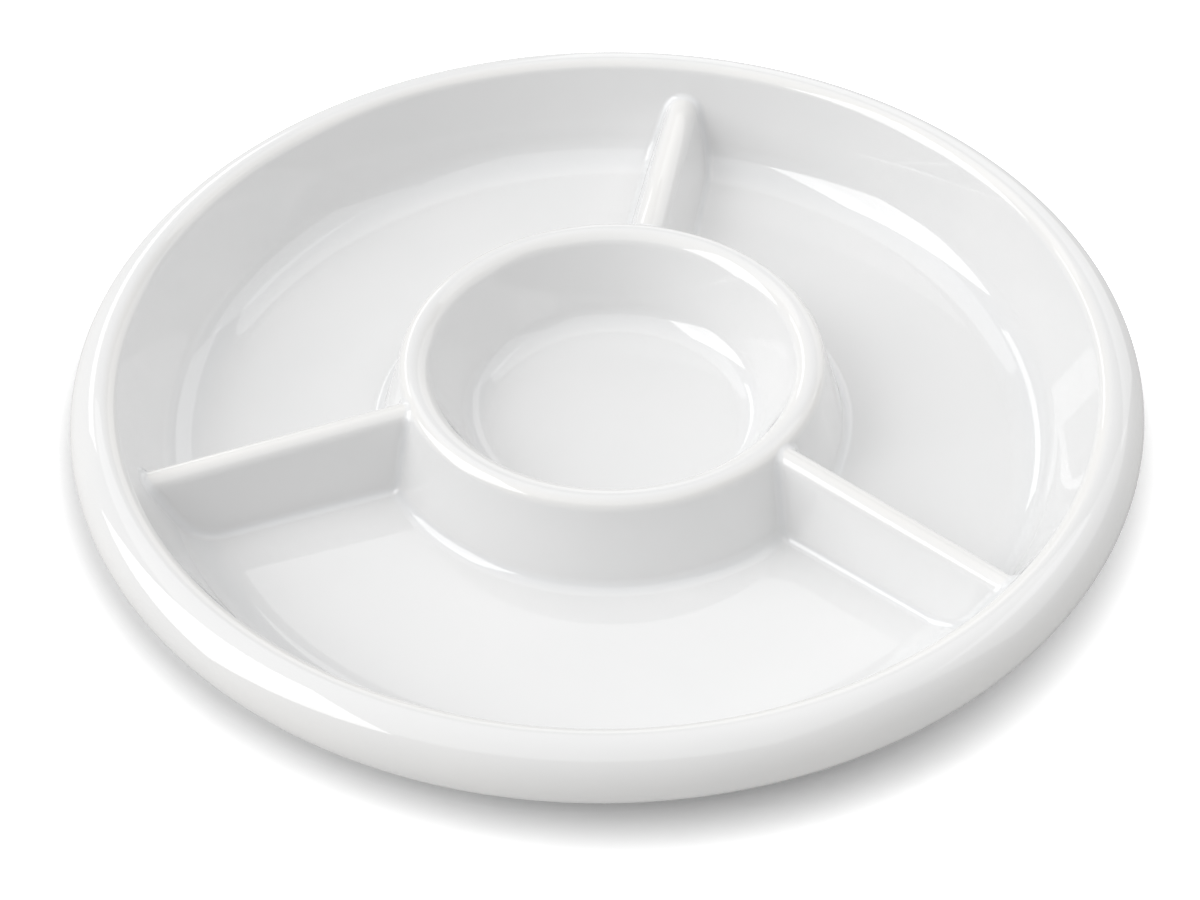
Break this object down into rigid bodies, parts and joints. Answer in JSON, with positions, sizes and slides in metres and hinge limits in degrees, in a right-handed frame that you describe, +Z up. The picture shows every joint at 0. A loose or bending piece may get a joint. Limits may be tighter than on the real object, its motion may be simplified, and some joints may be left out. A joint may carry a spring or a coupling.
{
  "type": "divided serving bowl",
  "caption": "Round glazed ceramic serving dish with a thick rolled rim, radial dividers between its compartments and a raised bowl for dip in the centre",
  "frame": {"origin": "on the table, under the centre of the dish", "axes": "+Z up; +Y along the rear divider, away from the picture's viewer; +X to the right"},
  "size_m": [0.3049, 0.305, 0.044],
  "materials": {
    "glaze": "white high-gloss glaze over fired clay",
    "biscuit": "unglazed, wiped foot that the dish stands on in the kiln"
  },
  "bodies": {
    "root": {"foot_ring": "biscuit", "base_plate": "glaze", "outer_wall": "glaze", "rolled_rim": "glaze", "bowl_wall": "glaze", "bowl_floor": "glaze", "divider_rear": "glaze", "divider_left": "glaze", "divider_right": "glaze"}
  },
  "joints": []
}
